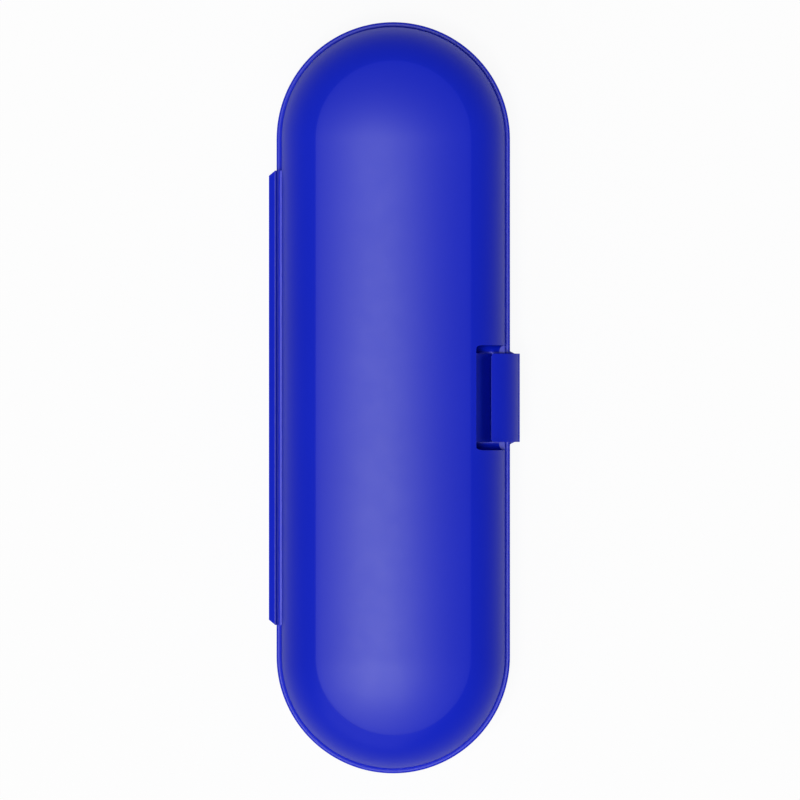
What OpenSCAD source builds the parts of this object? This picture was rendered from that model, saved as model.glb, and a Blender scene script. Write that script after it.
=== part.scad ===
// Travel case for an electric toothbrush: two moulded halves on a film hinge, shut by a swing-over clasp.
// X runs across the case from the hinge to the clasp, Y along it, Z up from the face it rests on.

/* [Case] */
// Length of the closed case over its rim
case_len = 215; // [200:1:240]
// Width of the closed case over its rim
case_w = 66.8; // [66:0.2:76]
// Depth of the base below the parting line
base_depth = 23; // [22:0.5:26]
// Height of the lid above the parting line
lid_height = 22; // [21.5:0.5:25]
// Wall thickness of both halves
wall = 1.8; // [1.6:0.1:2]
// Radius of the long bend between the side wall and the top or bottom
bend_r = 14; // [12:0.5:15]
// Distance from the rim to the crease round the crowned top
crease_in = 11.2; // [10.4:0.2:12]
// Rise of the crowned top above its crease
crown_rise = 1.75; // [1.2:0.05:2.2]
// Lean of a side wall between the rim and its bend
draft = 0.3; // [0.1:0.05:0.4]

/* [Rim] */
// How far the bead round the rim stands out from the side wall
bead_out = 1.3; // [1:0.1:1.6]
// Height of the bead on each half
bead_h = 2.2; // [2:0.1:2.4]
// Radius of the outer edge of the bead, the hinge lands and the latch foot
edge_r = 0.5; // [0.3:0.05:0.6]
// Thickness of the tongue that stands up inside the rim of the base
tongue_t = 0.9; // [0.8:0.05:1]
// Height of the tongue above the parting line
tongue_h = 1.5; // [1.2:0.1:1.6]
// Gap between the tongue and the lid
tongue_gap = 0.3; // [0.2:0.05:0.4]

/* [Hinge] */
// Distance from each end of the hinge spine to the round end of the case
hinge_end = 9.1; // [4:0.1:20]
// Distance between the two fold lines of the hinge
fold_gap = 8.4; // [7:0.2:9]
// Thickness of the hinge spine
spine_t = 1.8; // [1.4:0.1:2.2]
// How much shorter each end of the spine is at its outer face
spine_taper = 1.5; // [0.5:0.1:2.5]
// Width of the ridge along the top and the bottom of the spine
spine_ridge = 0.4; // [0.3:0.05:0.8]
// How much lower the spine is at its outer face than at its ridge
spine_drop = 0.8; // [0.4:0.1:1.2]
// Thickness of each bending film
film_t = 0.3; // [0.2:0.05:0.3]
// Width of a hinge film between the parts it joins
film_w = 0.9; // [0.9:0.05:1]
// How far each hinge land stands out from the side wall
land_out = 0.8; // [0.6:0.05:0.9]
// Height of each hinge land beyond its fold line
land_over = 0.9; // [0.6:0.1:1.2]

/* [Latch pocket] */
// Length of the pocket in the side of the lid
pocket_len = 30; // [28:0.5:36]
// Distance from the rim to the inner wall of the pocket
pocket_in = 9.7; // [9.4:0.1:10.4]
// Height of the pocket floor above the parting line
pocket_floor_z = 3.6; // [3.4:0.1:3.8]
// Radius of the scooped ends of the pocket
scoop_r = 2.3; // [1.5:0.1:2.4]
// Radius of the hollow ramp between the inner wall and the floor of the pocket
ramp_r = 6; // [3:0.1:6.2]
// Plan radius of the inner corners of the pocket
pocket_corner_r = 2; // [0.8:0.1:2]
// Distance from the rim to the inner face of the catch bar
bar_in = 3.1; // [3:0.1:3.2]
// Height of the catch bar above the parting line
bar_z = 5.2; // [5:0.05:5.25]
// Radius of the corners at the ends of the catch bar
bar_corner_r = 1.7; // [1:0.1:1.7]

/* [Latch] */
// Length of the hook
hook_len = 25.3; // [22:0.1:25.4]
// Distance from the rim to the inner edge of the hook
hook_in = 5.4; // [5.3:0.1:5.5]
// Outer radius of the rolled hook
hook_r = 9.9; // [9.8:0.05:10]
// Height of the centre of the roll above the parting line
hook_z = 0.9; // [0.8:0.05:1.2]
// Thickness of the latch
latch_t = 1.6; // [1.5:0.05:1.6]
// How far the flat of the latch stands out from the rim
flap_out = 2.5; // [2.4:0.05:2.6]
// Thickness of the tip that drops behind the catch bar
tip_t = 1.2; // [1:0.05:1.2]
// Height of the tip's end above the parting line
tip_z = 4.75; // [4.7:0.05:4.9]
// Radius of the finger grip along the outside of the latch
grip_r = 0.3; // [0.2:0.05:0.5]
// Height of the middle of the finger grip above the parting line
grip_z = 1.2; // [1:0.1:1.6]
// Plan radius of the hook's inner corners
hook_corner_r = 1.5; // [0.6:0.1:2.2]
// Length of the foot that carries the latch, at its root
foot_len = 29; // [27:0.1:30]
// How much shorter each end of the foot is at its outer face
foot_taper = 2.6; // [1:0.1:3]
// Thickness of the foot
foot_t = 1.4; // [1.2:0.1:1.8]
// How far the foot reaches beyond the flat of the latch
foot_over = 0.3; // [0.1:0.05:0.5]
// Height of the latch's film
latch_film_h = 1.2; // [1.1:0.05:1.3]

/* [Inside] */
// Diameter of the toothbrush handle that the ribs hold
handle_d = 29; // [24:0.5:30]
// Diameter of the room for each spare brush head
head_d = 16; // [13:0.5:17]
// Play round the handle and the heads in their notches
rest_play = 0.7; // [0.4:0.1:1]
// Distance from the middle of the case to the middle of the handle
handle_off = 13.5; // [13:0.1:14.5]
// Distance from the middle of the case to the middle of the heads
head_off = 17.8; // [17:0.1:18.5]
// Thickness of a cross rib
rib_t = 1.6; // [1.2:0.1:2.4]
// Distance from the last cross rib of the base to the round end of the case
rib_end = 8.1; // [4:0.1:20]
// Distance from each cross rib of the lid to the round end of the case
lid_rib_end = 26.1; // [18:0.1:40]
// Depth of the rib tops below the parting line
rib_drop = 2; // [1:0.1:3]
// Height of the handle's and the heads' lowest point above the base floor
rest_z = 2; // [1.4:0.1:2.6]
// Depth of the lid ribs below the crown of the lid
lid_rib_h = 12; // [10:0.5:13]

/* [Hidden] */

// Fineness of small and of large curves
$fn = 96;
crown_fn = 360;

// Overrun of every cut past the face that it leaves
cut_over = 1;

shell_blue = [0.16, 0.2, 0.75];
film_blue = [0.12, 0.16, 0.62];

rim_x = case_w / 2;
wall_x = rim_x - bead_out;
cavity_x = wall_x - wall;
rebate_x = cavity_x + tongue_t + tongue_gap;
straight = case_len - case_w;

// The bend's centre line, and the crown's circle through the crease
bend_x = wall_x - draft - bend_r;
base_bend_h = base_depth - bend_r;
crease_x = rim_x - crease_in;
crown_r = (crease_x * crease_x + crown_rise * crown_rise) / (2 * crown_rise);
lid_bend_z = lid_height - crown_rise - sqrt(bend_r * bend_r - pow(crease_x - bend_x, 2));

// Fold lines and hinge lands
land_x = wall_x + land_out;
fold_x = land_x + film_w / 2;
spine_in_x = land_x + film_w;
spine_out_x = spine_in_x + spine_t;
fold_z = fold_gap / 2;
land_h = fold_z + land_over;
hinge_len = straight - 2 * hinge_end;

// Latch, catch bar and pocket
flap_x = rim_x + flap_out;
hook_x = flap_x - hook_r;
hook_in_x = rim_x - hook_in;
bar_x = rim_x - bar_in;
pocket_x = rim_x - pocket_in;
flap_low_z = latch_film_h - bead_h;
foot_x = flap_x + foot_over;

// Ribs and their notches
rib_count = 4;
rib_pitch = (straight - 2 * rib_end) / (rib_count - 1);
lid_rib_pitch = straight - 2 * lid_rib_end;
handle_r = handle_d / 2 + rest_play;
head_r = head_d / 2 + rest_play;
handle_z = wall + rest_z + handle_r - base_depth;
head_z = wall + rest_z + head_r - base_depth;

// A side wall that leans by the draft as far as the bend, then runs up to a square corner
module leaning_side(inset, bend_z, height) {
    polygon([
        [0, 0], [wall_x - inset, 0], [wall_x - draft - inset, bend_z],
        [wall_x - draft - inset, height], [0, height]
    ]);
}

// What a bend leaves of a square corner outside it
module corner_waste(r, bend_z, height) {
    translate([bend_x, bend_z])
        difference() {
            square([r + cut_over, height - bend_z + cut_over]);
            circle(r = r);
        }
}

// The half outline of the base, outside or inside its wall: heights are from the parting line
module base_outline(inset) {
    mirror([0, 1])
        difference() {
            leaning_side(inset, base_bend_h, base_depth - inset);
            corner_waste(bend_r - inset, base_bend_h, base_depth);
        }
}

// The half outline of the lid, with its side bend and crowned top
module lid_outline(inset) {
    intersection() {
        translate([0, lid_height - crown_r]) circle(r = crown_r - inset, $fn = crown_fn);
        difference() {
            leaning_side(inset, lid_bend_z, lid_height);
            corner_waste(bend_r - inset, lid_bend_z, lid_height);
        }
    }
}

// A step that reaches out to x and up to h, with a rounded outer edge
module rounded_step(x, h) {
    square([x - edge_r, h]);
    square([x, h - edge_r]);
    translate([x - edge_r, h - edge_r]) circle(r = edge_r);
}

module base_section() {
    difference() {
        union() {
            base_outline(0);
            mirror([0, 1]) rounded_step(rim_x, bead_h);
            square([cavity_x + tongue_t, tongue_h]);
        }
        base_outline(wall);
        square([cavity_x, tongue_h + cut_over]);
    }
}

module lid_section() {
    difference() {
        union() {
            lid_outline(0);
            rounded_step(rim_x, bead_h);
        }
        lid_outline(wall);
        translate([0, -cut_over])
            square([rebate_x, tongue_h + tongue_gap + cut_over]);
    }
}

// Sweeps a half section round the case: two straight sides and two round ends
module sweep_round() {
    translate([0, straight / 2, 0])
        rotate([90, 0, 0]) linear_extrude(straight) {
            children();
            mirror([1, 0]) children();
        }
    for (end = [0, 1])
        rotate([0, 0, end * 180])
            translate([0, straight / 2, 0]) rotate_extrude(angle = 180) children();
}

// Stands a section in X and Z up and gives it a length along Y, about the middle
module across(length) {
    translate([0, length / 2, 0]) rotate([90, 0, 0]) linear_extrude(length) children();
}

// A plan that narrows from its root to its outer face, from one height to another
module tapered_plan(x_in, x_out, root_len, taper, z_low, z_high) {
    translate([0, 0, z_low])
        linear_extrude(z_high - z_low)
            polygon([
                [x_in, -root_len / 2], [x_out, taper - root_len / 2],
                [x_out, root_len / 2 - taper], [x_in, root_len / 2]
            ]);
}

// The land beside a fold line, in its place on the hinge side of the lid
module hinge_land() {
    mirror([1, 0, 0])
        intersection() {
            across(hinge_len) rounded_step(land_x, land_h);
            translate([rebate_x, -hinge_len / 2, 0]) cube([rim_x, hinge_len, land_h]);
        }
}

// The notch in the bead of the lid that takes the hinge
module hinge_notch() {
    mirror([1, 0, 0])
        translate([land_x, -hinge_len / 2, -cut_over])
            cube([rim_x + cut_over - land_x, hinge_len, bead_h + 2 * cut_over]);
}

module base_shell() {
    color(shell_blue)
    translate([0, 0, base_depth]) {
        difference() {
            sweep_round() base_section();
            mirror([0, 0, 1]) hinge_notch();
        }
        mirror([0, 0, 1]) hinge_land();
        latch_foot();
    }
}

module latch_foot() {
    translate([0, 0, -bead_h])
        intersection() {
            across(foot_len) mirror([0, 1]) rounded_step(foot_x, foot_t);
            tapered_plan(wall_x - wall / 2, foot_x, foot_len, foot_taper, -foot_t, 0);
        }
}

// One cross rib of the base, with a notch for the handle and one for a brush head
module base_rib(n) {
    color(shell_blue)
    translate([0, (n - (rib_count + 1) / 2) * rib_pitch, base_depth])
        across(rib_t)
            difference() {
                intersection() {
                    union() {
                        base_outline(wall);
                        mirror([1, 0]) base_outline(wall);
                    }
                    translate([-wall_x, -base_depth])
                        square([2 * wall_x, base_depth - rib_drop]);
                }
                notch(-handle_off, handle_z, handle_r);
                notch(head_off, head_z, head_r);
            }
}

// A round-bottomed notch, open upwards
module notch(x, z, r) {
    translate([x, z]) circle(r = r);
    translate([x - r, z]) square([2 * r, base_depth]);
}

// One hold-down rib of the lid, hollowed to the handle
module lid_rib(n) {
    color(shell_blue)
    translate([0, (n - 3 / 2) * lid_rib_pitch, base_depth])
        across(rib_t)
            difference() {
                intersection() {
                    union() {
                        lid_outline(wall);
                        mirror([1, 0]) lid_outline(wall);
                    }
                    translate([-wall_x, lid_height - lid_rib_h])
                        square([2 * wall_x, lid_rib_h]);
                }
                translate([-handle_off, handle_z]) circle(r = handle_r);
            }
}

// The bending strip between a hinge land and the spine, on one side of the parting line
module hinge_film(side) {
    color(film_blue)
    translate([-spine_in_x, -hinge_len / 2, base_depth + side * fold_z - film_t / 2])
        cube([film_w, hinge_len, film_t]);
}

module hinge_spine() {
    half_h = fold_z + film_t / 2;
    color(shell_blue)
    translate([0, 0, base_depth])
        mirror([1, 0, 0])
            intersection() {
                across(hinge_len)
                    polygon([
                        [0, -half_h], [spine_in_x + spine_ridge, -half_h],
                        [spine_out_x, spine_drop - half_h], [spine_out_x, half_h - spine_drop],
                        [spine_in_x + spine_ridge, half_h], [0, half_h]
                    ]);
                tapered_plan(spine_in_x, spine_out_x, hinge_len, spine_taper, -half_h, half_h);
            }
}

module lid_shell() {
    color(shell_blue)
    translate([0, 0, base_depth]) {
        difference() {
            union() {
                sweep_round() lid_section();
                pocket_wall();
            }
            hinge_notch();
            pocket_well();
            pocket_mouth();
        }
        pocket_ramp();
        hinge_land();
    }
}

// A plan with rounded inner corners, from x_in to x_out
module inner_rounded(x_in, x_out, len, r) {
    translate([x_in + r, -len / 2]) square([x_out - x_in - r, len]);
    translate([x_in, r - len / 2]) square([x_out - x_in, len - 2 * r]);
    for (side = [-1, 1]) translate([x_in + r, side * (len / 2 - r)]) circle(r = r);
}

// The wall and floor that close the pocket off from the inside of the lid
module pocket_wall() {
    low = pocket_floor_z - wall;
    intersection() {
        translate([0, 0, low])
            linear_extrude(lid_height - low)
                inner_rounded(pocket_x - wall, wall_x, pocket_len + 2 * wall, pocket_corner_r + wall);
        across(pocket_len + 2 * wall) lid_outline(0);
    }
}

// The hollow behind the catch bar, with scooped ends
module pocket_well() {
    flat = pocket_len / 2 - scoop_r;
    intersection() {
        translate([0, 0, pocket_floor_z])
            linear_extrude(lid_height)
                difference() {
                    inner_rounded(pocket_x, rim_x, pocket_len, pocket_corner_r);
                    inner_rounded(bar_x, rim_x + cut_over, pocket_len, bar_corner_r);
                }
        translate([0, 0, pocket_floor_z])
            rotate([90, 0, 90])
                linear_extrude(rim_x) {
                    translate([-flat, 0]) square([2 * flat, lid_height]);
                    translate([-pocket_len / 2, scoop_r]) square([pocket_len, lid_height]);
                    for (side = [-1, 1])
                        translate([side * flat, scoop_r]) circle(r = scoop_r);
                }
    }
}

// The ramp that leads a fingertip from the inner wall to under the hook
module pocket_ramp() {
    across(pocket_len - 2 * scoop_r)
        difference() {
            translate([pocket_x - wall / 2, pocket_floor_z - wall / 2])
                square([ramp_r + wall / 2, ramp_r + wall / 2]);
            translate([pocket_x + ramp_r, pocket_floor_z + ramp_r]) circle(r = ramp_r);
        }
}

// What is cut away over the catch bar
module pocket_mouth() {
    translate([bar_x, -pocket_len / 2, bar_z])
        cube([rim_x + cut_over - bar_x, pocket_len, lid_height - bar_z]);
}

module latch() {
    color(shell_blue)
    translate([0, 0, base_depth]) {
        intersection() {
            across(hook_len) hook_section();
            translate([0, 0, flap_low_z])
                linear_extrude(hook_z + hook_r - flap_low_z)
                    inner_rounded(hook_in_x, flap_x, hook_len, hook_corner_r);
        }
        finger_grip();
    }
}

// The rolled hook: a flat that stands on the film, a quarter roll, and a tip
module hook_section() {
    difference() {
        union() {
            intersection() {
                translate([hook_x, hook_z]) circle(r = hook_r);
                translate([hook_in_x, hook_z]) square([flap_x - hook_in_x, hook_r]);
            }
            translate([flap_x - latch_t, flap_low_z]) square([latch_t, hook_z - flap_low_z]);
        }
        difference() {
            translate([hook_x, hook_z]) circle(r = hook_r - latch_t);
            translate([hook_in_x, tip_z]) square([tip_t, hook_r]);
        }
        translate([hook_in_x, hook_z]) square([tip_t, tip_z - hook_z]);
    }
}

// The half-round ridge that a fingertip lifts
module finger_grip() {
    translate([0, hook_len / 2, 0])
        rotate([90, 0, 0])
            linear_extrude(hook_len)
                intersection() {
                    translate([flap_x, grip_z]) circle(r = grip_r);
                    translate([flap_x - latch_t / 2, grip_z - grip_r])
                        square([latch_t / 2 + grip_r, 2 * grip_r]);
                }
}

module latch_film() {
    color(film_blue)
    translate([flap_x - film_t, -hook_len / 2, base_depth - bead_h])
        cube([film_t, hook_len, latch_film_h]);
}

base_shell();
base_rib(1);  // base_rib_1
base_rib(2);  // base_rib_2
base_rib(3);  // base_rib_3
base_rib(4);  // base_rib_4
hinge_film(-1);  // base_hinge_film
hinge_spine();
hinge_film(1);  // lid_hinge_film
lid_shell();
lid_rib(1);  // lid_rib_1
lid_rib(2);  // lid_rib_2
latch_film();
latch();
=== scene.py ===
"""Looks of an electric toothbrush travel case: satin blue shells, film hinge and swing-over clasp."""

import math

import bpy
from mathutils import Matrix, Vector


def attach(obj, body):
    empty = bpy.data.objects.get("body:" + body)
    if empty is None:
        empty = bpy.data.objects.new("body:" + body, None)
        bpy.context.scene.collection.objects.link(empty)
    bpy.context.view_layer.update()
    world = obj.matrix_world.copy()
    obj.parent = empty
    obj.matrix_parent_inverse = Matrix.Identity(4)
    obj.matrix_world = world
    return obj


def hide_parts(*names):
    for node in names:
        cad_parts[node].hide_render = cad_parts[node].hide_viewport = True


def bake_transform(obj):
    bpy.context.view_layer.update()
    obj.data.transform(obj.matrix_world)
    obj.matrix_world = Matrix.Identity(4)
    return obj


bl_info = {
    "name": "Toothbrush travel case",
    "version": (1, 0, 0),
    "blender": (4, 5, 0),
    "location": "View3D > Sidebar > Travel case",
    "description": "Builds the looks of a toothbrush travel case around its packed solids",
    "category": "Object",
}

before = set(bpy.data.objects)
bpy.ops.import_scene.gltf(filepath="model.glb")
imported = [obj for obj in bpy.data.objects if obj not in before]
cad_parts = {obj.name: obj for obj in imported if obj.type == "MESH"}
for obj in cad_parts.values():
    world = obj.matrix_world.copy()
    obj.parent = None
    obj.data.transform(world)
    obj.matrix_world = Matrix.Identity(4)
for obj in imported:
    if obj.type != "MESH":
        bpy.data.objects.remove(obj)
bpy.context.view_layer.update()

MM = 0.001
# Axes, as a vector counts them
X, Z = 0, 2

# Sizes of both halves, in mm: X is across the case, and heights are from the parting line
PARTING = 23.0
STRAIGHT = 148.2
WALL, DRAFT = 1.8, 0.3
RIM_X, WALL_X, REBATE_X, TONGUE_X, CAVITY_X = 33.4, 32.1, 31.5, 31.2, 30.3
BEAD_H, BEAD_R = 2.2, 0.5
TONGUE_H = 1.5
PART_CUT = 0.15
BEND_X, BEND_R = 17.8, 14.0
BASE_BEND_Z = 9.0
BASE_DEEP = BASE_BEND_Z + BEND_R

# The lid's crown, its crease, and the fine step that draws the seam line along the bead
LID_H, CROWN_RISE = 22.0, 1.75
CREASE_X, CREASE_R = 22.2, 0.2
CROWN_R = (CREASE_X ** 2 + CROWN_RISE ** 2) / (2 * CROWN_RISE)
LID_BEND_Z = LID_H - CROWN_RISE - math.sqrt(BEND_R ** 2 - (CREASE_X - BEND_X) ** 2)
LINE_T, LINE_W = 0.1, 0.5

# Steps of the curves: round an end and along a side, and in the sections
TURNS, STRIPS = 72, 12
BEND_STEPS, CROWN_STEPS, BEAD_STEPS, ROUND_STEPS = 24, 14, 5, 4

# Tolerances, in mm: within NEAR or EXACT a point counts as at a place, past LONG an edge as a side
NEAR, EXACT, LONG = 0.1, 0.01, 1.0
# Gaps, in mm, that are merged: at a section's seams, before edges are softened, and after
SEAM_GAP, JOIN_GAP, EDGE_GAP = 0.002, 0.02, 0.001
# Where a cutting block ends, in mm: past the case at its side, and over it
PAST_SIDE, PAST_TOP = 40, 60

# Edges that turn by more than these, in degrees, are softened, or shaded sharp for the last
SHELL_ANGLE, RIB_ANGLE, CLASP_ANGLE, SPINE_ANGLE, SMOOTH_ANGLE = 40, 40, 35, 20, 32
# Steps across a softened edge, and how much large faces rule the shading, in percent
EDGE_STEPS, FACE_WEIGHT = 2, 80


class CaseColours(bpy.types.PropertyGroup):
    """Colours and finish of the case and of the table under it."""

    shell: bpy.props.FloatVectorProperty(
        name="Shell", description="Colour of the moulded shells, spine and clasp",
        subtype="COLOR", size=3, min=0, max=1, default=(0.0018, 0.0145, 0.565))
    # The films' colour is darker than the shell's: painted shade of the groove that the hinge films lie in
    film: bpy.props.FloatVectorProperty(
        name="Film", description="Colour of the thin bending films",
        subtype="COLOR", size=3, min=0, max=1, default=(0.001, 0.008, 0.32))
    floor: bpy.props.FloatVectorProperty(
        name="Floor", description="Colour of the plain table",
        subtype="COLOR", size=3, min=0, max=1, default=(0.88, 0.88, 0.88))
    gloss: bpy.props.FloatProperty(
        name="Roughness", description="Mean roughness of the satin plastic",
        subtype="FACTOR", min=0.05, max=1, default=0.34)


class CaseSizes(bpy.types.PropertyGroup):
    """Widths of the softened edges, and the distances of the photograph's view."""

    shell_edge: bpy.props.FloatProperty(
        name="Shell edges", description="Width of the rounding along the edges of base and lid",
        subtype="DISTANCE", unit="LENGTH", min=0, default=0.00012)
    spine_edge: bpy.props.FloatProperty(
        name="Spine edges", description="Width of the rounding along the edges of the hinge spine",
        subtype="DISTANCE", unit="LENGTH", min=0, default=0.00015)
    small_edge: bpy.props.FloatProperty(
        name="Rib and clasp edges", description="Width of the rounding along the edges of ribs and clasp",
        subtype="DISTANCE", unit="LENGTH", min=0, default=0.0002)
    view_distance: bpy.props.FloatProperty(
        name="Camera distance", description="Height of the camera over the rim of the case",
        subtype="DISTANCE", unit="LENGTH", default=6.0)
    view_width: bpy.props.FloatProperty(
        name="View width", description="Width that the picture takes in at the height of the rim",
        subtype="DISTANCE", unit="LENGTH", default=0.22902)


class CaseLight(bpy.types.PropertyGroup):
    """Strengths of the studio light."""

    softbox: bpy.props.FloatProperty(
        name="Softbox", description="Power of the lamp high over the case",
        subtype="POWER", unit="POWER", min=0, default=88.0)
    fill: bpy.props.FloatProperty(
        name="Fill", description="Power of the wide lamp at the case's near end",
        subtype="POWER", unit="POWER", min=0, default=31.0)
    air: bpy.props.FloatProperty(
        name="Air", description="Strength of the even light from all round, where 1 is white",
        subtype="FACTOR", min=0, max=1, default=0.13)


def colours():
    return bpy.context.scene.case_colours


def sizes():
    return bpy.context.scene.case_sizes


def light():
    return bpy.context.scene.case_light


class Signal:
    """A value in a material. Arithmetic on it adds the Math nodes."""

    def __init__(self, recipe, socket):
        self.recipe = recipe
        self.socket = socket

    def math(self, operation, *values):
        return self.recipe.add("ShaderNodeMath", {"operation": operation}, dict(enumerate(values)))

    def __add__(self, other):
        return self.math("ADD", self, other)

    def __radd__(self, other):
        return self.math("ADD", other, self)

    def __mul__(self, other):
        return self.math("MULTIPLY", self, other)

    def __rmul__(self, other):
        return self.math("MULTIPLY", other, self)


class Recipe:
    """A node tree and the one way to add nodes to it."""

    def __init__(self, tree):
        self.tree = tree
        tree.nodes.clear()

    def add(self, kind, settings=None, links=None, out=0):
        """Add a node with its settings and its sockets' links or values, and give one of its outputs."""
        node = self.tree.nodes.new(kind)
        for key, value in (settings or {}).items():
            setattr(node, key, value)
        for key, value in (links or {}).items():
            if isinstance(value, Signal):
                self.tree.links.new(value.socket, node.inputs[key])
            else:
                node.inputs[key].default_value = value
        return Signal(self, node.outputs[out]) if node.outputs else None


# Noise in the plastic: waves to the metre, octaves, and how much each octave adds
FLOW, HAZE, GRAIN = (14.0, 2.0, 0.45), (160.0, 4.0, 0.6), (2600.0, 2.0, 0.5)
# The flow's darkest and lightest tint, as shares of the colour, and a lift for dark channels
DEEP_TINT, LIGHT_TINT, TINT_LIFT = 0.9, 1.08, 0.001
# What noise and a slanting view add to the roughness, and what is taken off to keep its mean
NOISE_GLOSS, SLANT_GLOSS, GLOSS_DROP = 0.04, 0.32, 0.05
GRAIN_STRENGTH, GRAIN_DEPTH = 0.08, 0.04
PLASTIC_IOR, PLASTIC_SPECULAR = 1.49, 0.165
# The films' plastic is a darker copy of the shell's, which paints the shade in the hinge groove
SATIN, FILM_SATIN_PAINTED_SHADE = "shell_plastic_satin", "film_plastic_painted_shade"


def moulded_plastic(name, colour, roughness):
    """Satin injection-moulded plastic: faint flow shading, fine grain, slightly uneven gloss."""
    material = bpy.data.materials.new(name)
    material.use_nodes = True
    r = Recipe(material.node_tree)
    place = r.add("ShaderNodeTexCoord", out="Object")
    flow, haze, grain = (
        r.add("ShaderNodeTexNoise", {}, {
            "Vector": place, "Scale": scale, "Detail": octaves, "Roughness": rough})
        for scale, octaves, rough in (FLOW, HAZE, GRAIN))
    deep = [part * DEEP_TINT for part in colour]
    pale = [min(1, part * LIGHT_TINT + TINT_LIFT) for part in colour]
    tint = r.add(
        "ShaderNodeMix", {"data_type": "RGBA"},
        {"Factor": flow, "A": (*deep, 1), "B": (*pale, 1)}, out="Result")
    aslant = r.add("ShaderNodeLayerWeight", out="Facing")
    gloss = (roughness - GLOSS_DROP + NOISE_GLOSS * haze + NOISE_GLOSS * grain
             + SLANT_GLOSS * aslant * aslant)
    relief = r.add(
        "ShaderNodeBump", {}, {"Strength": GRAIN_STRENGTH, "Distance": GRAIN_DEPTH * MM, "Height": grain})
    skin = r.add("ShaderNodeBsdfPrincipled", {}, {
        "Base Color": tint, "Roughness": gloss, "Normal": relief,
        "IOR": PLASTIC_IOR, "Specular IOR Level": PLASTIC_SPECULAR,
    })
    r.add("ShaderNodeOutputMaterial", {}, {"Surface": skin})
    return material


def satin():
    """The one satin plastic of shells, ribs, spine and clasp."""
    made = bpy.data.materials.get(SATIN)
    return made or moulded_plastic(SATIN, colours().shell, colours().gloss)


def film_satin_painted_shade():
    """The same plastic in the bending films, in a darker colour that paints the shade of the groove along
    the hinge.
    """
    made = bpy.data.materials.get(FILM_SATIN_PAINTED_SHADE)
    return made or moulded_plastic(FILM_SATIN_PAINTED_SHADE, colours().film, colours().gloss)


def select(piece):
    """Make a piece the only one selected, and the active one."""
    bpy.ops.object.select_all(action="DESELECT")
    piece.select_set(True)
    bpy.context.view_layer.objects.active = piece


def edit(piece):
    select(piece)
    bpy.ops.object.mode_set(mode="EDIT")


def finish_edit():
    bpy.ops.object.mode_set(mode="OBJECT")


def named(name):
    """Name the object that was just added, and its mesh."""
    piece = bpy.context.object
    piece.name = piece.data.name = name
    return piece


def settle(piece):
    """Put a piece's place, turn and size into its mesh."""
    select(piece)
    bpy.ops.object.transform_apply(location=True, rotation=True, scale=True)


def pick(piece, kind, test):
    """Select the vertices or edges of a piece in edit mode that pass a test."""
    bpy.ops.mesh.select_all(action="DESELECT")
    bpy.ops.mesh.select_mode(type=kind)
    bpy.ops.object.mode_set(mode="OBJECT")
    for item in {"VERT": piece.data.vertices, "EDGE": piece.data.edges}[kind]:
        if test(item):
            item.select = True
    bpy.ops.object.mode_set(mode="EDIT")


def ends(piece, edge):
    """The two ends of an edge, in mm."""
    return [piece.data.vertices[i].co / MM for i in edge.vertices]


def flat_at(a, b, height):
    """Whether an edge lies at a height."""
    return abs(a.z - height) < NEAR and abs(b.z - height) < NEAR


def upright_at(a, b, x):
    """Whether an edge is a side that stands upright at a place across the case."""
    return abs(a.z - b.z) > LONG and abs(a.x - x) < NEAR and abs(b.x - x) < NEAR


def apply_modifier(piece, kind, **settings):
    select(piece)
    modifier = piece.modifiers.new(kind.lower(), kind)
    for key, value in settings.items():
        setattr(modifier, key, value)
    bpy.ops.object.modifier_apply(modifier=modifier.name)


def combine(piece, tool, how):
    apply_modifier(piece, "BOOLEAN", object=tool, operation=how, solver="EXACT")


def remove(*tools):
    bpy.ops.object.select_all(action="DESELECT")
    for tool in tools:
        tool.select_set(True)
    bpy.ops.object.delete()


def merge_close(piece, gap):
    """Merge the vertices that a join leaves within a gap, in mm, of each other."""
    edit(piece)
    bpy.ops.mesh.select_all(action="SELECT")
    bpy.ops.mesh.remove_doubles(threshold=gap * MM)
    finish_edit()


def smooth(piece):
    """Shade a piece smoothly up to its sharp edges, and its large faces flat."""
    select(piece)
    bpy.ops.object.shade_smooth_by_angle(angle=math.radians(SMOOTH_ANGLE))
    apply_modifier(piece, "WEIGHTED_NORMAL", keep_sharp=True, weight=FACE_WEIGHT)


def soften(piece, width, angle):
    """Round the edges that are sharper than an angle, by a width in metres, and shade the rest smoothly."""
    merge_close(piece, JOIN_GAP)
    apply_modifier(
        piece, "BEVEL", width=width, segments=EDGE_STEPS, limit_method="ANGLE",
        angle_limit=math.radians(angle), use_clamp_overlap=True, miter_outer="MITER_ARC")
    merge_close(piece, EDGE_GAP)
    smooth(piece)


def stand_for(piece, node, body):
    """Give a finished piece its plastic, hide the CAD node that it stands for, and attach it to the body
    that it rides on.
    """
    piece.data.materials.clear()
    piece.data.materials.append(satin())
    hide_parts(node)
    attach(piece, body)


def block(name, low, high, bevels=()):
    """A block between two corners in mm. A bevel is a width, its steps and a test on an edge's ends."""
    low, high = Vector(low), Vector(high)
    bpy.ops.mesh.primitive_cube_add(size=1, location=(low + high) / 2 * MM)
    piece = named(name)
    piece.scale = (high - low) * MM
    settle(piece)
    edit(piece)
    for width, steps, test in bevels:
        pick(piece, "EDGE", lambda edge: test(*ends(piece, edge)))
        bpy.ops.mesh.bevel(offset=width * MM, segments=steps, affect="EDGES")
    finish_edit()
    return piece


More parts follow.
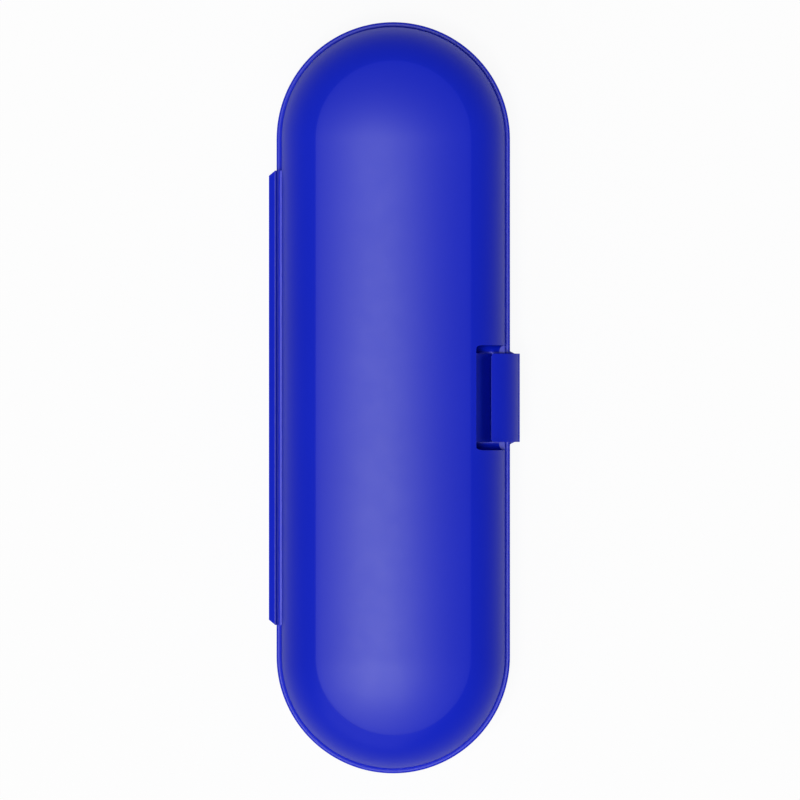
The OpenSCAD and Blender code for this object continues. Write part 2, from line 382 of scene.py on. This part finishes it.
class Pen:
    """Draws a section in the plane of X and Z, in mm, one stroke after another."""

    def __init__(self, name, x, z, y):
        """Start at a place across the case and a height from the parting line, at a place along it."""
        bpy.ops.object.select_all(action="DESELECT")
        bpy.ops.mesh.primitive_plane_add(size=MM, location=(0, 0, 0), enter_editmode=True)
        self.piece = named(name)
        self.x, self.y, self.z = x, y, z
        bpy.ops.mesh.select_mode(type="VERT")
        bpy.ops.mesh.select_all(action="SELECT")
        bpy.ops.mesh.merge(type="CENTER")
        bpy.ops.transform.translate(value=(x * MM, y * MM, (PARTING + z) * MM))

    def line(self, x, z):
        step = ((x - self.x) * MM, 0, (z - self.z) * MM)
        bpy.ops.mesh.extrude_vertices_move(TRANSFORM_OT_translate={"value": step})
        self.x, self.z = x, z

    def arc(self, x, z, turn, steps):
        """Turn about a centre by an angle in degrees, from X towards Z."""
        centre = (x * MM, self.y * MM, (PARTING + z) * MM)
        bpy.ops.mesh.spin(steps=steps, dupli=False, angle=math.radians(turn), center=centre, axis=(0, 1, 0))
        along = Vector((self.x - x, self.z - z))
        cos, sin = math.cos(math.radians(turn)), math.sin(math.radians(turn))
        self.x = x + along.x * cos - along.y * sin
        self.z = z + along.x * sin + along.y * cos

    def plate(self, thick):
        """Close the outline, fill it and give it a thickness along Y."""
        bpy.ops.mesh.select_all(action="SELECT")
        bpy.ops.mesh.remove_doubles(threshold=SEAM_GAP * MM)
        bpy.ops.mesh.edge_face_add()
        bpy.ops.mesh.extrude_region_move(TRANSFORM_OT_translate={"value": (0, thick * MM, 0)})
        bpy.ops.mesh.select_all(action="SELECT")
        bpy.ops.mesh.normals_make_consistent(inside=False)
        finish_edit()
        return self.piece

    def sweep(self):
        """Carry the section round the case: two straight sides and two half turns."""
        bpy.ops.mesh.select_all(action="SELECT")
        for side in (1, -1):
            for _ in range(STRIPS):
                step = (0, side * STRAIGHT / STRIPS * MM, 0)
                bpy.ops.mesh.extrude_region_move(TRANSFORM_OT_translate={"value": step})
            bpy.ops.mesh.spin(
                steps=TURNS, dupli=False, angle=-math.pi,
                center=(0, side * STRAIGHT / 2 * MM, 0), axis=(0, 0, 1))
        bpy.ops.mesh.select_all(action="SELECT")
        bpy.ops.mesh.remove_doubles(threshold=SEAM_GAP * MM)
        bpy.ops.mesh.normals_make_consistent(inside=False)
        finish_edit()
        return self.piece


def wall_at(inset, height, bend_height):
    """Where a drafted wall stands: an inset from its outer face, at a height from the rim to its bend."""
    return WALL_X - inset - DRAFT * height / bend_height


def crown_meets_bend(inset):
    """Where the lid's crown and bend cross: the angles there, in degrees from X towards Z."""
    big, small = CROWN_R - inset, BEND_R - inset
    centre = Vector((0, LID_H - CROWN_R))
    bend = Vector((BEND_X, LID_BEND_Z))
    apart = bend - centre
    along = (big ** 2 - small ** 2 + apart.length_squared) / (2 * apart.length)
    across = math.sqrt(big ** 2 - along ** 2)
    way = apart.normalized()
    meet = centre + along * way + across * Vector((way.y, -way.x))
    on_crown, on_bend = meet - centre, meet - bend
    return tuple(math.degrees(math.atan2(to.y, to.x)) for to in (on_crown, on_bend))


def lid_form(name, inset):
    """The lid's outer form as a swept skin, closed by its flat underside."""
    crown, bend = crown_meets_bend(inset)
    pen = Pen(name, 0, LID_H - inset, -STRAIGHT / 2)
    pen.arc(0, LID_H - CROWN_R, crown - 90, CROWN_STEPS)
    pen.arc(BEND_X, LID_BEND_Z, -bend, BEND_STEPS)
    pen.line(wall_at(inset, 0, LID_BEND_Z), 0)
    pen.line(0, 0)
    return pen.sweep()


def lid_skin(name):
    """Both faces of the lid, joined round its rim."""
    low = LID_H - CROWN_R
    crown, bend = crown_meets_bend(0)
    short_of_crease = math.degrees(CREASE_R / CROWN_R)
    past_crease = math.degrees(CREASE_R / BEND_R)
    pen = Pen(name, 0, LID_H, -STRAIGHT / 2)
    pen.arc(0, low, crown - 90 + short_of_crease, CROWN_STEPS)
    start = math.radians(bend - past_crease)
    pen.line(BEND_X + BEND_R * math.cos(start), LID_BEND_Z + BEND_R * math.sin(start))
    pen.arc(BEND_X, LID_BEND_Z, past_crease - bend, BEND_STEPS)
    wall = wall_at(0, BEAD_H, LID_BEND_Z)
    pen.line(wall, BEAD_H - LINE_T)
    pen.line(wall + LINE_W, BEAD_H)
    pen.line(RIM_X - BEAD_R, BEAD_H)
    pen.arc(RIM_X - BEAD_R, BEAD_H - BEAD_R, -90, BEAD_STEPS)
    pen.line(RIM_X, PART_CUT)
    pen.line(RIM_X - PART_CUT, 0)
    pen.line(REBATE_X, 0)
    pen.line(REBATE_X, WALL)
    pen.line(wall_at(WALL, WALL, LID_BEND_Z), WALL)
    pen.line(wall_at(WALL, LID_BEND_Z, LID_BEND_Z), LID_BEND_Z)
    crown, bend = crown_meets_bend(WALL)
    pen.arc(BEND_X, LID_BEND_Z, bend, BEND_STEPS)
    pen.arc(0, low, 90 - crown, CROWN_STEPS)
    return pen.sweep()


def base_skin(name):
    """Both faces of the base, joined round its rim with the sealing tongue."""
    pen = Pen(name, 0, -BASE_DEEP, -STRAIGHT / 2)
    pen.line(BEND_X, -BASE_DEEP)
    pen.arc(BEND_X, -BASE_BEND_Z, 90, BEND_STEPS)
    pen.line(wall_at(0, BEAD_H, BASE_BEND_Z), -BEAD_H)
    pen.line(RIM_X - BEAD_R, -BEAD_H)
    pen.arc(RIM_X - BEAD_R, BEAD_R - BEAD_H, 90, BEAD_STEPS)
    pen.line(RIM_X, -PART_CUT)
    pen.line(RIM_X - PART_CUT, 0)
    pen.line(TONGUE_X, 0)
    pen.line(TONGUE_X, TONGUE_H - PART_CUT)
    pen.line(TONGUE_X - PART_CUT, TONGUE_H)
    pen.line(CAVITY_X + PART_CUT, TONGUE_H)
    pen.line(CAVITY_X, TONGUE_H - PART_CUT)
    pen.line(CAVITY_X, 0)
    pen.line(wall_at(WALL, BASE_BEND_Z, BASE_BEND_Z), -BASE_BEND_Z)
    pen.arc(BEND_X, -BASE_BEND_Z, -90, BEND_STEPS)
    pen.line(0, WALL - BASE_DEEP)
    return pen.sweep()


# The hinge side, in mm: the land stands behind the notch in the bead, and laps into the wall
HALF_LAND, LAND_X, LAND_H, LAND_LAP = 65.0, 32.9, 5.1, 0.1
NOTCH_H = 3.5


def hinge_side(shell, up):
    """Notch the bead for the spine and stand the land up beside the fold line."""
    notch = block(
        "notch", (-PAST_SIDE, -HALF_LAND, PARTING - NOTCH_H), (-LAND_X, HALF_LAND, PARTING + NOTCH_H))
    combine(shell, notch, "DIFFERENCE")
    top = PARTING + up * LAND_H
    heights = sorted((PARTING + up * PART_CUT, top))
    land = block(
        "land", (-LAND_X, -HALF_LAND, heights[0]), (LAND_LAP - REBATE_X, HALF_LAND, heights[1]),
        [(BEAD_R, ROUND_STEPS, lambda a, b: max(a.x, b.x) < NEAR - LAND_X and flat_at(a, b, top))])
    combine(shell, land, "UNION")
    remove(notch, land)


# The clasp's pocket in the lid, in mm: its back, half length, floor, scooped ends and rounded corners
POCKET_X, POCKET_HALF, POCKET_FLOOR = 23.7, 15.0, 3.6
SCOOP_R, POCKET_R, POCKET_STEPS = 2.3, 2.0, 8
# How far its walls stay under the lid's face, and how far from it the lid's strips are cut
WALL_SINK, CUT_BESIDE = 0.7, 0.5
# The slope at its back, and the catch bar with how deep it roots in the floor and the ends
SLOPE_H, SLOPE_W = 11.0, 4.5
BAR_X, BAR_Z, BAR_R = 30.3, 5.2, 1.7
BAR_ROOT, BAR_LAP, BAR_SINK = 0.6, 0.001, 0.02


def pocket_slope():
    """The slope between the scooped ends, from the back of the pocket to its floor."""
    half = POCKET_HALF - SCOOP_R
    low, back = POCKET_FLOOR - WALL / 2, POCKET_X - WALL / 2
    pen = Pen("slope", back, low, -half)
    pen.line(POCKET_X + SLOPE_W, low)
    pen.line(POCKET_X + SLOPE_W, POCKET_FLOOR)
    pen.line(POCKET_X, POCKET_FLOOR + SLOPE_H)
    pen.line(back, POCKET_FLOOR + SLOPE_H)
    pen.line(back, low)
    return pen.plate(2 * half)


def latch_pocket(lid):
    """Wall off a pocket behind the clasp, hollow it with scooped ends, and leave the catch bar standing."""
    floor = PARTING + POCKET_FLOOR
    edit(lid)
    for side in (1, -1):
        bpy.ops.mesh.select_all(action="SELECT")
        beside = (0, side * (POCKET_HALF + WALL + CUT_BESIDE) * MM, 0)
        bpy.ops.mesh.bisect(plane_co=beside, plane_no=(0, 1, 0))
    finish_edit()
    inside = lid_form("inside", WALL_SINK)
    out = block(
        "pocket_wall", (POCKET_X - WALL, -POCKET_HALF - WALL, floor - WALL),
        (PAST_SIDE, POCKET_HALF + WALL, PAST_TOP),
        [(POCKET_R + WALL, POCKET_STEPS, lambda a, b: upright_at(a, b, POCKET_X - WALL))])
    combine(out, inside, "INTERSECT")
    combine(lid, out, "UNION")
    well = block(
        "well", (POCKET_X, -POCKET_HALF, floor), (PAST_SIDE, POCKET_HALF, PAST_TOP),
        [(SCOOP_R, POCKET_STEPS, lambda a, b: flat_at(a, b, floor) and abs(a.y - b.y) < NEAR),
         (POCKET_R, POCKET_STEPS, lambda a, b: upright_at(a, b, POCKET_X))])
    combine(lid, well, "DIFFERENCE")
    slope = pocket_slope()
    combine(lid, slope, "UNION")
    bar = block(
        "bar", (BAR_X, -POCKET_HALF - BAR_LAP, floor - BAR_ROOT),
        (PAST_SIDE, POCKET_HALF + BAR_LAP, PARTING + BAR_Z),
        [(BAR_R, POCKET_STEPS, lambda a, b: upright_at(a, b, BAR_X))])
    form = lid_form("form", BAR_SINK)
    combine(bar, form, "INTERSECT")
    combine(lid, bar, "UNION")
    remove(inside, out, well, slope, bar, form)


class CASE_OT_lid(bpy.types.Operator):
    """Mould the lid: crowned top, bead, hinge land, and the pocket with its catch bar"""

    bl_idname = "case.lid"
    bl_label = "Lid"

    def execute(self, context):
        lid = lid_skin("lid_cover")
        hinge_side(lid, 1)
        latch_pocket(lid)
        soften(lid, sizes().shell_edge, SHELL_ANGLE)
        stand_for(lid, "lid_shell", "lid")
        return {"FINISHED"}


# The foot under the clasp, in mm: its reach, thickness, and half length at its root and its face
FOOT_X, FOOT_T = 36.2, 1.4
FOOT_ROOT, FOOT_FACE = 14.5, 11.9


def clasp_foot():
    """The foot on the bead, narrowed towards its face, with its lower edge rounded."""
    top = PARTING - BEAD_H
    foot = block(
        "foot", (WALL_X - WALL / 2, -FOOT_ROOT, top - FOOT_T), (FOOT_X, FOOT_ROOT, top),
        [(BEAD_R, ROUND_STEPS, lambda a, b: min(a.x, b.x) > FOOT_X - NEAR and max(a.z, b.z) < top - NEAR)])
    edit(foot)
    pick(foot, "VERT", lambda vert: vert.co.x / MM > FOOT_X - BEAD_R - NEAR)
    bpy.ops.transform.resize(value=(1, FOOT_FACE / FOOT_ROOT, 1), center_override=(0, 0, 0))
    finish_edit()
    return foot


class CASE_OT_base(bpy.types.Operator):
    """Mould the base: flat bottom, bead, sealing tongue, hinge land and the foot of the clasp"""

    bl_idname = "case.base"
    bl_label = "Base"

    def execute(self, context):
        base = base_skin("base_tray")
        hinge_side(base, -1)
        foot = clasp_foot()
        for part in (base, foot):
            soften(part, sizes().shell_edge, SHELL_ANGLE)
        combine(base, foot, "UNION")
        remove(foot)
        merge_close(base, SEAM_GAP)
        smooth(base)
        stand_for(base, "base_shell", "base")
        return {"FINISHED"}


# The ribs, in mm: the handle and the brush head that they hold, their edges and their places along Y
HANDLE_X, HANDLE_Z, HANDLE_R = -13.5, -4.0, 15.2
HEAD_X, HEAD_Z, HEAD_R = 17.8, -10.5, 8.7
RIB_TOP, RIB_T = -2.0, 1.6
LID_RIB_LOW = 10.0
BASE_RIBS, LID_RIBS = (-66, -22, 22, 66), (-48, 48)
RIB_BEND_STEPS, RIB_NOTCH_STEPS = 16, 32
LID_RIB_BEND_STEPS, LID_RIB_CROWN_STEPS, LID_RIB_NOTCH_STEPS = 14, 24, 12


def base_rib(name):
    """One rib, with a notch for the handle and one for a brush head."""
    edge = wall_at(WALL, -RIB_TOP, BASE_BEND_Z)
    pen = Pen(name, -edge, RIB_TOP, -RIB_T / 2)
    pen.line(-wall_at(WALL, BASE_BEND_Z, BASE_BEND_Z), -BASE_BEND_Z)
    pen.arc(-BEND_X, -BASE_BEND_Z, 90, RIB_BEND_STEPS)
    pen.line(BEND_X, WALL - BASE_DEEP)
    pen.arc(BEND_X, -BASE_BEND_Z, 90, RIB_BEND_STEPS)
    pen.line(edge, RIB_TOP)
    for x, z, radius in ((HEAD_X, HEAD_Z, HEAD_R), (HANDLE_X, HANDLE_Z, HANDLE_R)):
        pen.line(x + radius, RIB_TOP)
        pen.line(x + radius, z)
        pen.arc(x, z, -180, RIB_NOTCH_STEPS)
        pen.line(x - radius, RIB_TOP)
    pen.line(-edge, RIB_TOP)
    return pen.plate(RIB_T)


def lid_rib(name):
    """One hold-down rib under the crown, hollowed to the handle."""
    crown, bend = crown_meets_bend(WALL)
    low = math.degrees(math.asin((LID_RIB_LOW - LID_BEND_Z) / (BEND_R - WALL)))
    edge = BEND_X + (BEND_R - WALL) * math.cos(math.radians(low))
    half = math.sqrt(HANDLE_R ** 2 - (LID_RIB_LOW - HANDLE_Z) ** 2)
    notch = math.degrees(math.atan2(LID_RIB_LOW - HANDLE_Z, half))
    pen = Pen(name, edge, LID_RIB_LOW, -RIB_T / 2)
    pen.arc(BEND_X, LID_BEND_Z, bend - low, LID_RIB_BEND_STEPS)
    pen.arc(0, LID_H - CROWN_R, 2 * (90 - crown), LID_RIB_CROWN_STEPS)
    pen.arc(-BEND_X, LID_BEND_Z, bend - low, LID_RIB_BEND_STEPS)
    pen.line(HANDLE_X - half, LID_RIB_LOW)
    pen.arc(HANDLE_X, HANDLE_Z, 2 * notch - 180, LID_RIB_NOTCH_STEPS)
    pen.line(edge, LID_RIB_LOW)
    return pen.plate(RIB_T)


def copies(model, names, places):
    """Copies of a piece, each with its own mesh, moved along Y."""
    made = []
    for name, y in zip(names, places):
        select(model)
        bpy.ops.object.duplicate()
        piece = named(name)
        piece.location.y = y * MM
        settle(piece)
        made.append(piece)
    remove(model)
    return made


class CASE_OT_ribs(bpy.types.Operator):
    """Stand the ribs that hold the handle and the brush heads in the base and in the lid"""

    bl_idname = "case.ribs"
    bl_label = "Ribs"

    def execute(self, context):
        kinds = (("base", base_rib("rib"), BASE_RIBS), ("lid", lid_rib("rib"), LID_RIBS))
        for body, model, places in kinds:
            soften(model, sizes().small_edge, RIB_ANGLE)
            numbers = range(1, len(places) + 1)
            ribs = copies(model, [f"{body}_cross_rib_{n}" for n in numbers], places)
            for n, rib in zip(numbers, ribs):
                stand_for(rib, f"{body}_rib_{n}", body)
        return {"FINISHED"}


# The fold lines' height, and the spine, whose ends and outer edge fall away from its ridge, in mm
FOLD_Z = 4.2
SPINE_IN, SPINE_RIDGE, SPINE_OUT = -33.8, -34.0, -35.6
SPINE_DROP, SPINE_TAPER = 0.8, 1.5
# A film laps into what it joins and is sunk a little in it. Its neck is a share of its thickness
FILM_T, LAP, SUNK = 0.3, 0.15, 0.02
FILM_NECK, FILM_STEPS = 0.4, 20
# Where along a film the neck starts to narrow and where it is thinnest, as shares of its width
HINGE_NECK, CLASP_NECK = (0.25, 0.85), (0, 0.5)


def neck(share, start, waist):
    """Thickness of a film, as a share: full up to the start, least at the waist, full again at the end."""
    fall = max(0, share - start) / (waist - start) if share < waist else (1 - share) / (1 - waist)
    return 1 - (1 - FILM_NECK) * fall


def film(name, low, high, along, across, firm, narrow):
    """A strip cut into steps along one axis, which thins, across another, onto its firm face."""
    low, high = Vector(low), Vector(high)
    strip = block(name, low, high)
    edit(strip)
    normal = tuple(float(axis == along) for axis in range(3))
    still = (low + high) / 2
    still[across] = firm
    for n in range(1, FILM_STEPS):
        share = n / FILM_STEPS
        place = low.lerp(high, share)
        bpy.ops.mesh.select_all(action="SELECT")
        bpy.ops.mesh.bisect(plane_co=place * MM, plane_no=normal)
        pick(strip, "VERT", lambda vert: abs(vert.co[along] / MM - place[along]) < EXACT)
        thin = [1.0, 1.0, 1.0]
        thin[across] = neck(share, *narrow)
        bpy.ops.transform.resize(value=thin, center_override=still * MM)
    finish_edit()
    smooth(strip)
    # Darker plastic: painted shade of the groove along the hinge
    strip.data.materials.append(film_satin_painted_shade())
    return strip


def spine_bar():
    """The spine: a bar that grows shorter and lower from its ridge to its outer edge."""
    half = FOLD_Z + FILM_T / 2
    spine = block(
        "spine_bar", (SPINE_OUT, -HALF_LAND, PARTING - half), (SPINE_IN, HALF_LAND, PARTING + half))
    edit(spine)
    bpy.ops.mesh.select_all(action="SELECT")
    bpy.ops.mesh.bisect(plane_co=(SPINE_RIDGE * MM, 0, 0), plane_no=(1, 0, 0))
    for x in (SPINE_RIDGE, SPINE_OUT):
        pick(spine, "VERT", lambda vert: abs(vert.co.x / MM - x) < EXACT)
        shorter = 1 - SPINE_TAPER * (SPINE_IN - x) / (SPINE_IN - SPINE_OUT) / HALF_LAND
        lower = 1 - SPINE_DROP / half if x == SPINE_OUT else 1
        bpy.ops.transform.resize(value=(1, shorter, lower), center_override=(0, 0, PARTING * MM))
    finish_edit()
    return spine


class CASE_OT_hinge(bpy.types.Operator):
    """Shape the spine and the two films that bend on either side of it"""

    bl_idname = "case.hinge"
    bl_label = "Hinge"

    def execute(self, context):
        spine = spine_bar()
        soften(spine, sizes().spine_edge, SPINE_ANGLE)
        stand_for(spine, "hinge_spine", "spine")
        for body, up in (("base", -1), ("lid", 1)):
            level = PARTING + up * FOLD_Z
            strip = film(
                f"{body}_film_strip", (SPINE_IN - LAP, -HALF_LAND, level - FILM_T / 2 + SUNK),
                (LAP - LAND_X, HALF_LAND, level + FILM_T / 2 - SUNK), X, Z,
                level - up * FILM_T / 2, HINGE_NECK)
            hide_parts(f"{body}_hinge_film")
            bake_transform(strip)
        return {"FINISHED"}


# The clasp, in mm: its flap, the roll that its hook follows, the hook's tip, and the finger grip
FLAP_X, FLAP_LOW, FLAP_T = 35.9, -1.0, 1.6
ROLL_X, ROLL_Z, ROLL_R = 26.0, 0.9, 9.9
HOOK_X, HOOK_HALF, HOOK_R = 28.0, 12.65, 1.5
TIP_T, TIP_Z = 1.2, 4.75
GRIP_Z, GRIP_R = 1.2, 0.3
GRIP_STEPS, ROLL_STEPS, INNER_STEPS, CORNER_STEPS = 14, 24, 20, 6


def rolled_hook():
    """The flap with its finger grip, rolled inwards to the hook, with the hook's corners rounded."""
    pen = Pen("clasp_hook", FLAP_X - FLAP_T, FLAP_LOW, -HOOK_HALF)
    pen.line(FLAP_X, FLAP_LOW)
    pen.line(FLAP_X, GRIP_Z - GRIP_R)
    pen.arc(FLAP_X, GRIP_Z, 180, GRIP_STEPS)
    start = math.degrees(math.asin((GRIP_Z + GRIP_R - ROLL_Z) / ROLL_R))
    top = math.degrees(math.acos((HOOK_X - ROLL_X) / ROLL_R))
    reach = math.radians(start)
    pen.line(ROLL_X + ROLL_R * math.cos(reach), ROLL_Z + ROLL_R * math.sin(reach))
    pen.arc(ROLL_X, ROLL_Z, top - start, ROLL_STEPS)
    pen.line(HOOK_X, TIP_Z)
    pen.line(HOOK_X + TIP_T, TIP_Z)
    inner = ROLL_R - FLAP_T
    under = math.acos((HOOK_X + TIP_T - ROLL_X) / inner)
    pen.line(HOOK_X + TIP_T, ROLL_Z + inner * math.sin(under))
    pen.arc(ROLL_X, ROLL_Z, -math.degrees(under), INNER_STEPS)
    pen.line(FLAP_X - FLAP_T, FLAP_LOW)
    hook = pen.plate(2 * HOOK_HALF)
    edit(hook)
    pick(hook, "EDGE", lambda edge: upright_at(*ends(hook, edge), HOOK_X))
    bpy.ops.mesh.bevel(offset=HOOK_R * MM, segments=CORNER_STEPS, affect="EDGES")
    finish_edit()
    return hook


class CASE_OT_clasp(bpy.types.Operator):
    """Shape the swing-over clasp with its rolled hook, its finger grip and the film it swings on"""

    bl_idname = "case.clasp"
    bl_label = "Clasp"

    def execute(self, context):
        hook = rolled_hook()
        soften(hook, sizes().small_edge, CLASP_ANGLE)
        stand_for(hook, "latch", "latch")
        top = PARTING - BEAD_H
        strip = film(
            "clasp_film_strip", (FLAP_X - FILM_T, -HOOK_HALF, top - LAP),
            (FLAP_X, HOOK_HALF, PARTING + FLAP_LOW + LAP), Z, X,
            FLAP_X - FILM_T, CLASP_NECK)
        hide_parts("latch_film")
        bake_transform(strip)
        return {"FINISHED"}


# The stage, in metres: the table lies a hair under the case, and the lamps point at the case
TABLE_SIZE, TABLE_DROP = 6, 0.0001
SOFTBOX_PLACE, SOFTBOX_SIZE = (-0.28, -0.35, 4.0), 0.8
FILL_PLACE, FILL_SIZE = (-0.8, -2.0, 2.1), 3.0
# How much of the table's own shading gives way to plain white where the camera sees it
BACKDROP_SHARE = 0.93
# The photograph's frame: its side, and how far its middle is from the case's, in pixels
PHOTO_PIXELS, PHOTO_MIDDLE = 800, (6.7, -2.25)
SENSOR_MM, VIEW_END = 36.0, 20
WHITE = (1, 1, 1, 1)


def backdrop_ray(recipe):
    """One for rays that see the backdrop itself: from the camera, mirrored, or through glass."""
    camera, mirrored, through = (
        recipe.add("ShaderNodeLightPath", out=ray)
        for ray in ("Is Camera Ray", "Is Glossy Ray", "Is Transmission Ray"))
    return camera + mirrored + through


class CASE_OT_stage(bpy.types.Operator):
    """Lay the table and set the light and the camera of the photograph's view"""

    bl_idname = "case.stage"
    bl_label = "Stage"

    def execute(self, context):
        self.table()
        self.air(context)
        self.lamp(context, "softbox", SOFTBOX_PLACE, SOFTBOX_SIZE, light().softbox)
        self.lamp(context, "fill", FILL_PLACE, FILL_SIZE, light().fill)
        self.camera(context)
        context.scene.view_settings.view_transform = "Standard"
        return {"FINISHED"}

    def table(self):
        bpy.ops.mesh.primitive_plane_add(size=TABLE_SIZE, location=(0, 0, -TABLE_DROP))
        table = named("table_top")
        material = bpy.data.materials.new("table_paint")
        material.use_nodes = True
        r = Recipe(material.node_tree)
        paint = r.add("ShaderNodeBsdfDiffuse", {}, {"Color": (*colours().floor, 1)})
        white = r.add("ShaderNodeEmission", {}, {"Color": WHITE})
        both = r.add("ShaderNodeMixShader", {}, {0: backdrop_ray(r) * BACKDROP_SHARE, 1: paint, 2: white})
        r.add("ShaderNodeOutputMaterial", {}, {"Surface": both})
        table.data.materials.append(material)

    def air(self, context):
        world = bpy.data.worlds.new("studio_air")
        context.scene.world = world
        world.use_nodes = True
        r = Recipe(world.node_tree)
        strength = light().air + (1 - light().air) * backdrop_ray(r)
        air = r.add("ShaderNodeBackground", {}, {"Color": WHITE, "Strength": strength})
        r.add("ShaderNodeOutputWorld", {}, {"Surface": air})

    def lamp(self, context, name, place, size, power):
        source = bpy.data.lights.new(name, "AREA")
        source.shape = "SQUARE"
        source.size = size
        source.energy = power
        lamp = bpy.data.objects.new(name, source)
        lamp.location = place
        lamp.rotation_euler = (-Vector(place)).to_track_quat("-Z", "Y").to_euler()
        context.collection.objects.link(lamp)

    def camera(self, context):
        lens = bpy.data.cameras.new("photo_camera")
        lens.sensor_width = SENSOR_MM
        lens.lens = SENSOR_MM * sizes().view_distance / sizes().view_width
        lens.clip_end = VIEW_END
        camera = bpy.data.objects.new("photo_camera", lens)
        x, y = (pixels * sizes().view_width / PHOTO_PIXELS for pixels in PHOTO_MIDDLE)
        camera.location = (x, y, PARTING * MM + sizes().view_distance)
        context.collection.objects.link(camera)
        context.scene.camera = camera


class CASE_PT_panel(bpy.types.Panel):
    """Lists the steps that build the case"""

    bl_label = "Travel case"
    bl_idname = "CASE_PT_panel"
    bl_space_type = "VIEW_3D"
    bl_region_type = "UI"
    bl_category = "Travel case"

    def draw(self, context):
        for step in STEPS:
            self.layout.operator(step.bl_idname)
        for group in (colours(), sizes(), light()):
            for name in group.bl_rna.properties.keys():
                if name not in ("rna_type", "name"):
                    self.layout.prop(group, name)


STEPS = (CASE_OT_base, CASE_OT_lid, CASE_OT_ribs, CASE_OT_hinge, CASE_OT_clasp, CASE_OT_stage)
CLASSES = (CaseColours, CaseSizes, CaseLight, *STEPS, CASE_PT_panel)


def register():
    for item in CLASSES:
        bpy.utils.register_class(item)
    bpy.types.Scene.case_colours = bpy.props.PointerProperty(type=CaseColours)
    bpy.types.Scene.case_sizes = bpy.props.PointerProperty(type=CaseSizes)
    bpy.types.Scene.case_light = bpy.props.PointerProperty(type=CaseLight)


def unregister():
    del bpy.types.Scene.case_light
    del bpy.types.Scene.case_sizes
    del bpy.types.Scene.case_colours
    for item in reversed(CLASSES):
        bpy.utils.unregister_class(item)


def main():
    register()
    for step in STEPS:
        bpy.ops.object.select_all(action="DESELECT")
        getattr(bpy.ops.case, step.bl_idname.split(".")[1])()


if __name__ == "__main__":
    main()
